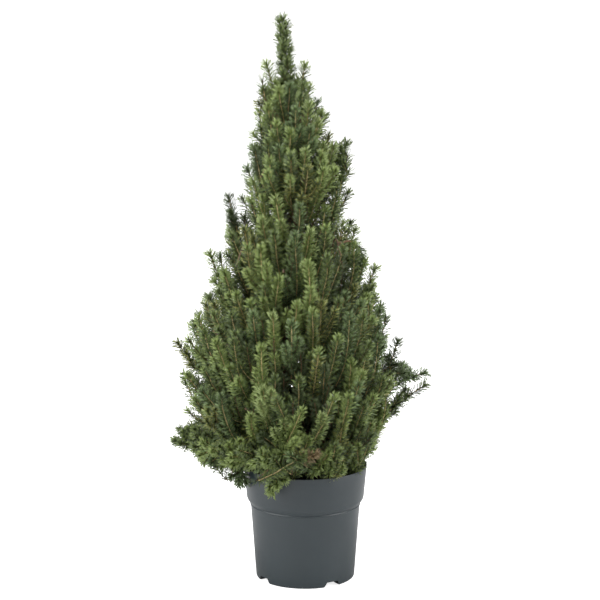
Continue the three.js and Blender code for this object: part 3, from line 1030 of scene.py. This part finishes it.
# %% Shades and twigs
# The odds of each green, in the order of SHADES.
SHADE_ODDS = {
    "outer": [0.10, 0.15, 0.32, 0.26, 0.05, 0.12],
    "second": [0.26, 0.14, 0.36, 0.12, 0.0, 0.12],
    "inner": [0.55, 0.12, 0.22, 0.0, 0.0, 0.11],
}
LIGHTER_TIPS = {"outer": 0.45, "second": 0.25, "inner": 0.25}  # the odds of a lighter tip
TIP_SHADE = {"deep": "mid", "blue": "blue", "mid": "fresh", "olive": "fresh"}
TIP_SHADE |= {"fresh": "light", "light": "light"}
# Low on the right front, some shoots are withered.
WITHERED = {"left": 10 * MM, "back": 10 * MM, "top": 260 * MM, "odds": 0.14}
# A twig takes the cheapest way to the bough: this is added to its distance, and this much to turning.
JOIN_SLACK, JOIN_CARE = 6 * MM, 1.6
TWIG_BEND = 0.35  # the share of a twig's reach that each of its ends steers
BARE_TWIG = 30 * MM  # a shorter twig has no needles
TWIG_TO_TIP = 60 * MM  # how far past a twig its shoot's tip is taken to be


def deal_shade(layer_name, tip):
    withered = tip[0] > WITHERED["left"] and tip[1] < WITHERED["back"] and tip[2] < WITHERED["top"]
    if withered and rng.random() < WITHERED["odds"]:
        return "brown", "brown"
    shade = SHADES[rng.choice(len(SHADES) - 1, p=SHADE_ODDS[layer_name])]
    return shade, (TIP_SHADE[shade] if rng.random() < LIGHTER_TIPS[layer_name] else shade)


def join_to(bough, foot, foot_direction, care):
    """The place on the bough that a twig to this foot leaves from."""
    gap = foot - bough
    distance = np.linalg.norm(gap, axis=1)
    along = gap @ foot_direction / np.maximum(distance, 1e-9)
    return int(np.argmin((distance + JOIN_SLACK) * (1 + care * (1 - along))))


def add_twig(bough, foot, foot_direction, tier, shade, thick, care=JOIN_CARE):
    place = join_to(bough, foot, foot_direction, care)
    start = bough[place]
    reach = np.linalg.norm(foot - start)
    bough_way = unit(bough[min(place + 1, len(bough) - 1)] - bough[max(place - 1, 0)])
    leave = unit(bough_way + unit(foot - start))
    after_start = start + leave * reach * TWIG_BEND
    before_foot = foot - foot_direction * reach * TWIG_BEND
    line = bezier(start, after_start, before_foot, foot, steps=7)
    add_wood(line, thick * 1.35, thick, young=0)
    if reach > BARE_TWIG:
        add_needles(tier, line[4:], shade, shade, size=0.9, after=TWIG_TO_TIP, tufted=False)


# %% Main shoots and their side shoots
SIDE_ANGLE = (22, 36)  # degrees
SIDE_TURN = 2.4  # each side shoot is this far round from the last, in radians
SIDE_STEPS = 5
SHOOT_HEIGHTS = [0.17, 0.24, 0.36, 0.56, 0.70, 0.80]
SHOOT_LENGTHS = [70, 84, 122, 122, 84, 46]  # mm
DEEPER_LENGTH = 0.75  # a shoot of the deeper layers, against an outer one


def side_shoot(tier, line, share, turn, length, shade, tip_shade, steep=1.0):
    k = share * (len(line) - 1)
    i = int(k)
    start = line[i] + (k - i) * (line[i + 1] - line[i])
    ahead = unit(line[i + 1] - line[i])
    across = unit(np.cross(ahead, (math.cos(turn), math.sin(turn), 0.2)))
    angle = math.radians(rng.uniform(*SIDE_ANGLE)) * steep
    way_out = math.cos(angle) * ahead + math.sin(angle) * across
    way_up = unit(0.5 * way_out + ahead + 0.25 * UP)
    t = np.linspace(0, 1, SIDE_STEPS - 1)[:, None]
    ways = (1 - t) * way_out + t * way_up
    ways /= np.linalg.norm(ways, axis=1)[:, None]
    strides = np.cumsum(ways * length / (SIDE_STEPS - 1), axis=0)
    side = within_crown(np.vstack([start, start + strides]))
    add_wood(side, thick=0.6, thin=0.45, young=float(rng.random() < 0.5))
    add_needles(tier, side, shade, tip_shade, size=0.92)


side_count = 0
for found in tips:
    layer, tip, direction = found["layer"], found["tip"], found["direction"]
    outer = layer["name"] == "outer"
    tier = tier_of(found["mass"]) + ("" if outer else "_within")
    length = np.interp(tip[2], SHOOT_HEIGHTS, SHOOT_LENGTHS) * MM * rng.uniform(0.8, 1.15)
    length *= 1 if outer else DEEPER_LENGTH
    foot_direction = unit(0.62 * direction + 0.5 * radial_at(tip) + 0.12 * UP)
    line = led_back(tip, direction, foot_direction, length, steps=9)
    shade, tip_shade = deal_shade(layer["name"], tip)
    add_wood(line, thick=0.95, thin=0.6, young=1 if outer else 0)
    add_needles(tier, line, shade, tip_shade, tufted=outer)
    add_twig(boughs[found["mass"]], line[0], foot_direction, tier, "deep", thick=1.0)
    sides = rng.integers(0, 4) if outer else rng.integers(0, 2)
    first_turn = rng.uniform(0, 2 * math.pi)
    for i in range(sides):
        side_length = rng.uniform(0.3, 0.55) * length
        share = rng.uniform(0.05, 0.5)
        side_shoot(tier, line, share, first_turn + i * SIDE_TURN, side_length, shade, tip_shade)
    side_count += int(sides)
print("side shoots:", side_count, "strands:", sum(map(len, strands.values())))


# %% [markdown]
# ## Leader and lone sprays
# The leader is the trunk's own tip: one upright shoot with whorls of short side shoots. The lone sprays
# are shoots that outgrew the rest, so each is drawn through its own CAD solid and led back into the
# crown to the nearest bough.


# %% Leader
LOWEST_SIDE = 0.04  # how far up a shoot its first side shoot is, as a share of its length


def grown_shoot(tier, line, shade, tip_shade, sides, side_length, highest, thick=1.0, steep=1.0):
    """A shoot with side shoots up to a share of its length. Their length falls from foot to tip."""
    add_wood(line, thick, thin=0.6, young=1)
    add_needles(tier, line, shade, tip_shade)
    turn = rng.uniform(0, 2 * math.pi)
    for i in range(sides):
        share = LOWEST_SIDE + (highest - LOWEST_SIDE) * (i + rng.uniform(0, 0.8)) / sides
        length = rng.uniform(0.85, 1.15) * np.interp(share, [0, 1], side_length) * MM
        side_shoot(tier, line, share, turn + SIDE_TURN * i, length, shade, tip_shade, steep)


leader_low, leader_high = (corner.z - 10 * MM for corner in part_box("foliage_leader"))
leader_line = np.array([trunk_at(z) for z in np.linspace(leader_low, leader_high, 13)])
sides = {"sides": 24, "side_length": (30, 11), "highest": 0.92, "steep": 1.35}
grown_shoot("leader", leader_line, "mid", "mid", thick=1.8, **sides)
print("leader, mm long:", round((leader_high - leader_low) / MM))


# %% Lone sprays
TIP_BACK = 7 * MM  # a spray's wood ends this far inside its solid's tip
INSIDE_LENGTH = 26 * MM  # how far a spray runs on into the crown
every_bough = np.vstack(list(boughs.values()) + [trunk_line[::6]])


def from_wood(point):
    return np.linalg.norm(every_bough - point, axis=1).min()


def along_solid(node):
    """The middle line of a slim solid, from its end nearest the wood."""
    co = points_of(node)
    middle = co.mean(axis=0)
    way = np.linalg.svd(co - middle, full_matrices=False)[2][0]
    order = np.argsort((co - middle) @ way, kind="stable")
    if from_wood(co[order[0]]) > from_wood(co[order[-1]]):
        order, way = order[::-1], -way
    line = np.array([chunk.mean(axis=0) for chunk in np.array_split(co[order], 5)])
    return np.vstack([line[:-1], co[order[-1]] - TIP_BACK * way])


for name in LONE_NODES:
    line = smooth_line(along_solid(name), steps=10)
    nearest = every_bough[np.argmin(np.linalg.norm(every_bough - line[0], axis=1))]
    inward = unit(unit(line[0] - line[2]) + 1.5 * unit(nearest - line[0]))
    inside = line[0] + inward * min(INSIDE_LENGTH, 0.6 * np.linalg.norm(nearest - line[0]))
    shade, tip_shade = deal_shade("outer", line[-1])
    sides = {"sides": 3 if name.startswith("finger") else 6, "side_length": (24, 14), "highest": 0.6}
    grown_shoot("lone", np.vstack([inside, line]), shade, tip_shade, **sides)
    add_twig(every_bough, inside, -inward, "lone", "deep", thick=1.2, care=0.5)
print("needle strands:", {tier: len(found) for tier, found in strands.items()}, "wood:", len(wood))

# %% [markdown]
# ## The needle
# A spruce needle is stiff, four-sided and about a centimetre long. With some two hundred thousand of them,
# each can have only a few faces: this one is a closed sliver with four, wide across its foot and narrower,
# and turned a quarter, at its tip, so it shows a slim stroke from every side. It is one unit long and
# stands on its foot, so instances can stretch it.

# %% Needle shape
NEEDLE_TIP = 0.6  # how wide its tip is, where its foot is 1
needle = new_piece(
    "needle",
    [(-0.5, 0, 0), (0.5, 0, 0), (0, -NEEDLE_TIP / 2, 1), (0, NEEDLE_TIP / 2, 1)],
    [(0, 1, 2), (1, 0, 3), (2, 3, 0), (3, 2, 1)],
)
print("needle faces:", len(needle.data.polygons))

# %% [markdown]
# ## Needle greens
# No two sprays have quite the same green: old inner ones are deep, fresh ones yellow-green, some are bluish
# with wax. Each shade is a plain base colour. Every shoot is dealt one, often with a lighter one for its
# tip, and half its needles take the next darker shade. The surface is the same on all: waxy, with a
# gloss that wanders from needle to needle.

# %% Needle materials
NEEDLE_COLOURS = {
    "deep": (58, 72, 34),
    "blue": (98, 119, 70),
    "mid": (99, 115, 56),
    "fresh": (119, 136, 70),
    "light": (138, 153, 94),
    "olive": (124, 128, 64),
    "brown": (114, 96, 64),
}


def needle_material(name):
    made, tree, shader = new_material(f"needle {name}", colour(*NEEDLE_COLOURS[name]), 0.5)
    wax = mottled(tree, scale=500.0, detail=2.0, low=0.36, high=0.56)
    tree.links.new(wax, shader.inputs["Roughness"])
    shader.inputs["Specular IOR Level"].default_value = 0.5
    return made


needle_materials = {name: needle_material(name) for name in SHADES}
print("greens:", list(needle_materials))

# %% [markdown]
# ## Geometry Nodes: needles along a shoot
# Needles sit all round a shoot in a spiral, each about 137.5 degrees on from the last, and lean forward
# most near the tip. That is a rule along a path, so a tree makes them: the strands become curves, evenly
# spaced points on them carry one needle each, turned by its number in the row.

# %% Needle tree
GOLDEN_ANGLE = 2.39996  # 137.5 degrees
TILT_SPREAD, SPIN_SPREAD, LENGTH_SPREAD = (-0.32, 0.24), (-0.5, 0.5), (0.8, 1.15)
brush, given, end, BRUSH = new_geometry_tree(
    "needles along shoots",
    {
        "Needle": "Object",
        "Spacing": "Float",
        "Length": "Float",
        "Width": "Float",
        "Tilt at tip": "Float",
        "Tilt on shoot": "Float",
        "Seed": "Int",
    },
)


def attribute(tree, name):
    made = add(tree, "GeometryNodeInputNamedAttribute", {"Name": name}, data_type="FLOAT")
    return made.outputs["Attribute"]


def turned_on(tree, rotation, axis, angle):
    """The rotation, then a turn about one of its own axes."""
    turn = add(tree, "FunctionNodeAxisAngleToRotation", {"Axis": axis, "Angle": angle})
    inputs = {"Rotation": rotation, "Rotate By": turn.outputs["Rotation"]}
    made = add(tree, "FunctionNodeRotateRotation", inputs, rotation_space="LOCAL")
    return made.outputs["Rotation"]


lines = add(brush, "GeometryNodeMeshToCurve", {"Mesh": given["Geometry"]}).outputs["Curve"]
inputs = {"Curve": lines, "Length": given["Spacing"]}
spots = add(brush, "GeometryNodeCurveToPoints", inputs, mode="LENGTH").outputs
number = add(brush, "GeometryNodeInputIndex").outputs["Index"]
to_tip = attribute(brush, "to_tip")
tilt = mapped(brush, to_tip, 0.0, 9 * MM, given["Tilt at tip"], given["Tilt on shoot"])
tilt = maths(brush, "ADD", tilt, random_value(brush, *TILT_SPREAD, given["Seed"]))
next_seed, last_seed = (maths(brush, "ADD", given["Seed"], k) for k in (1, 2))
spin = maths(brush, "MULTIPLY", number, GOLDEN_ANGLE)
spin = maths(brush, "ADD", spin, random_value(brush, *SPIN_SPREAD, next_seed))
along = add(brush, "FunctionNodeAlignRotationToVector", {"Vector": spots["Tangent"]}, axis="Z")
spun = turned_on(brush, along.outputs["Rotation"], (0, 0, 1), spin)
growth = mapped(brush, to_tip, 0.0, 8 * MM, 0.82, 1.0)
growth = maths(brush, "MULTIPLY", growth, attribute(brush, "size"))
growth = maths(brush, "MULTIPLY", growth, random_value(brush, *LENGTH_SPREAD, last_seed))
long = maths(brush, "MULTIPLY", growth, given["Length"])
wide = given["Width"]
size = add(brush, "ShaderNodeCombineXYZ", {"X": wide, "Y": wide, "Z": long}).outputs["Vector"]
rotation = turned_on(brush, spun, (1, 0, 0), tilt)
stage = real_copies(brush, spots["Points"], given["Needle"], rotation, size)
for k, name in enumerate(SHADES):
    mine = maths(brush, "COMPARE", attribute(brush, "shade"), float(k), 0.5)
    stage = painted(brush, stage, needle_materials[name], mine)
brush.links.new(stage, end)
print("needle tree inputs:", list(BRUSH))


# %% Needle pieces
def strand_mesh(name, found, values):
    """Loose lines as one mesh, with each value stored on its points."""
    points = np.vstack([s["line"] for s in found])
    edges, first = [], 0
    for s in found:
        count = len(s["line"])
        edges += [(first + i, first + i + 1) for i in range(count - 1)]
        first += count
    mesh = bpy.data.meshes.new(name)
    mesh.from_pydata(points.tolist(), edges, [])
    for title in values:
        rows = [np.broadcast_to(s[title], len(s["line"])) for s in found]
        stored = mesh.attributes.new(title, "FLOAT", "POINT")
        stored.data.foreach_set("value", np.concatenate(rows).astype(np.float32))
    return placed(name, mesh)


NEEDLE = {
    "Spacing": 1.04 * MM,
    "Length": 12.8 * MM,
    "Width": 1.7 * MM,
    "Tilt at tip": 0.62,
    "Tilt on shoot": 1.0,
}
# Alone against the light, a shoot's needles stand closer; deep in the crown, wider apart.
SPACING = {"leader": 0.92 * MM, "lone": 0.84 * MM, "within": 1.7 * MM}
needle_faces = len(needle.data.polygons)
needle.data.materials.append(needle_materials[SHADES[0]])
needle_total = 0
for k, (tier, found) in enumerate(strands.items()):
    place, _, depth = tier.partition("_")
    name, spacing = f"needles_{tier}", SPACING.get(depth or place, NEEDLE["Spacing"])
    values = {"Needle": needle, "Seed": 10 * k + 1, **NEEDLE, "Spacing": spacing}
    mesh = strand_mesh(name, found, ["to_tip", "shade", "size"])
    piece = run_tree(mesh, name, brush, BRUSH, values)
    tier_nodes = [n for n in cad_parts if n.startswith(f"foliage_{place}")]
    nodes = LONE_NODES if place == "lone" else tier_nodes
    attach(piece, "root")
    if not depth:
        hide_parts(*nodes)
    count = len(piece.data.polygons) // needle_faces
    needle_total += count
    print(piece.name, "needles:", count, "materials:", len(piece.data.materials))
bpy.data.objects.remove(needle)
print("needles in all:", needle_total)

# %% [markdown]
# ## Twigs
# Spruce twigs are tan on this year's growth and grey-brown behind it. They are tubes along the lines that
# were grown, again from a tree: each takes its own girth, a small four-sided section and closed ends.

# %% Twig materials
tones = colour(196, 170, 116), colour(230, 208, 156)
young_wood = two_tone("young twig", colour(196, 170, 122), *tones, roughness=0.7, scale=400.0, detail=3.0)[0]
tones = colour(84, 62, 44), colour(128, 100, 74)
old_wood, tree, shader, patches = two_tone(
    "old twig", colour(104, 80, 58), *tones, roughness=0.85, scale=400.0, detail=4.0
)
bump(tree, shader, patches, strength=0.5, distance=0.3 * MM)
print("twig materials:", young_wood.name, "and", old_wood.name)

# %% Twig tree
tube, given, end, TUBE = new_geometry_tree(
    "twig tubes", {"Sides": "Int", "Young": "Material", "Old": "Material"}
)
lines = add(tube, "GeometryNodeMeshToCurve", {"Mesh": given["Geometry"]}).outputs["Curve"]
inputs = {"Resolution": given["Sides"], "Radius": 1.0}
section = add(tube, "GeometryNodeCurvePrimitiveCircle", inputs).outputs["Curve"]
inputs = {"Curve": lines, "Profile Curve": section, "Scale": attribute(tube, "girth"), "Fill Caps": True}
skin = add(tube, "GeometryNodeCurveToMesh", inputs).outputs["Mesh"]
smooth = add(tube, "GeometryNodeSetShadeSmooth", {"Geometry": skin}).outputs["Geometry"]
real = add(tube, "GeometryNodeRealizeInstances", {"Geometry": smooth}).outputs["Geometry"]
is_young = maths(tube, "GREATER_THAN", attribute(tube, "young"), 0.5)
tube.links.new(painted(tube, painted(tube, real, given["Old"]), given["Young"], is_young), end)
print("twig tree inputs:", list(TUBE))

# %% Twig piece
values = {"Sides": 4, "Young": young_wood, "Old": old_wood}
twigs = run_tree(strand_mesh("twigs", wood, ["girth", "young"]), "twigs", tube, TUBE, values)
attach(twigs, "root")
twigs.data.calc_loop_triangles()
print("twig triangles:", len(twigs.data.loop_triangles))
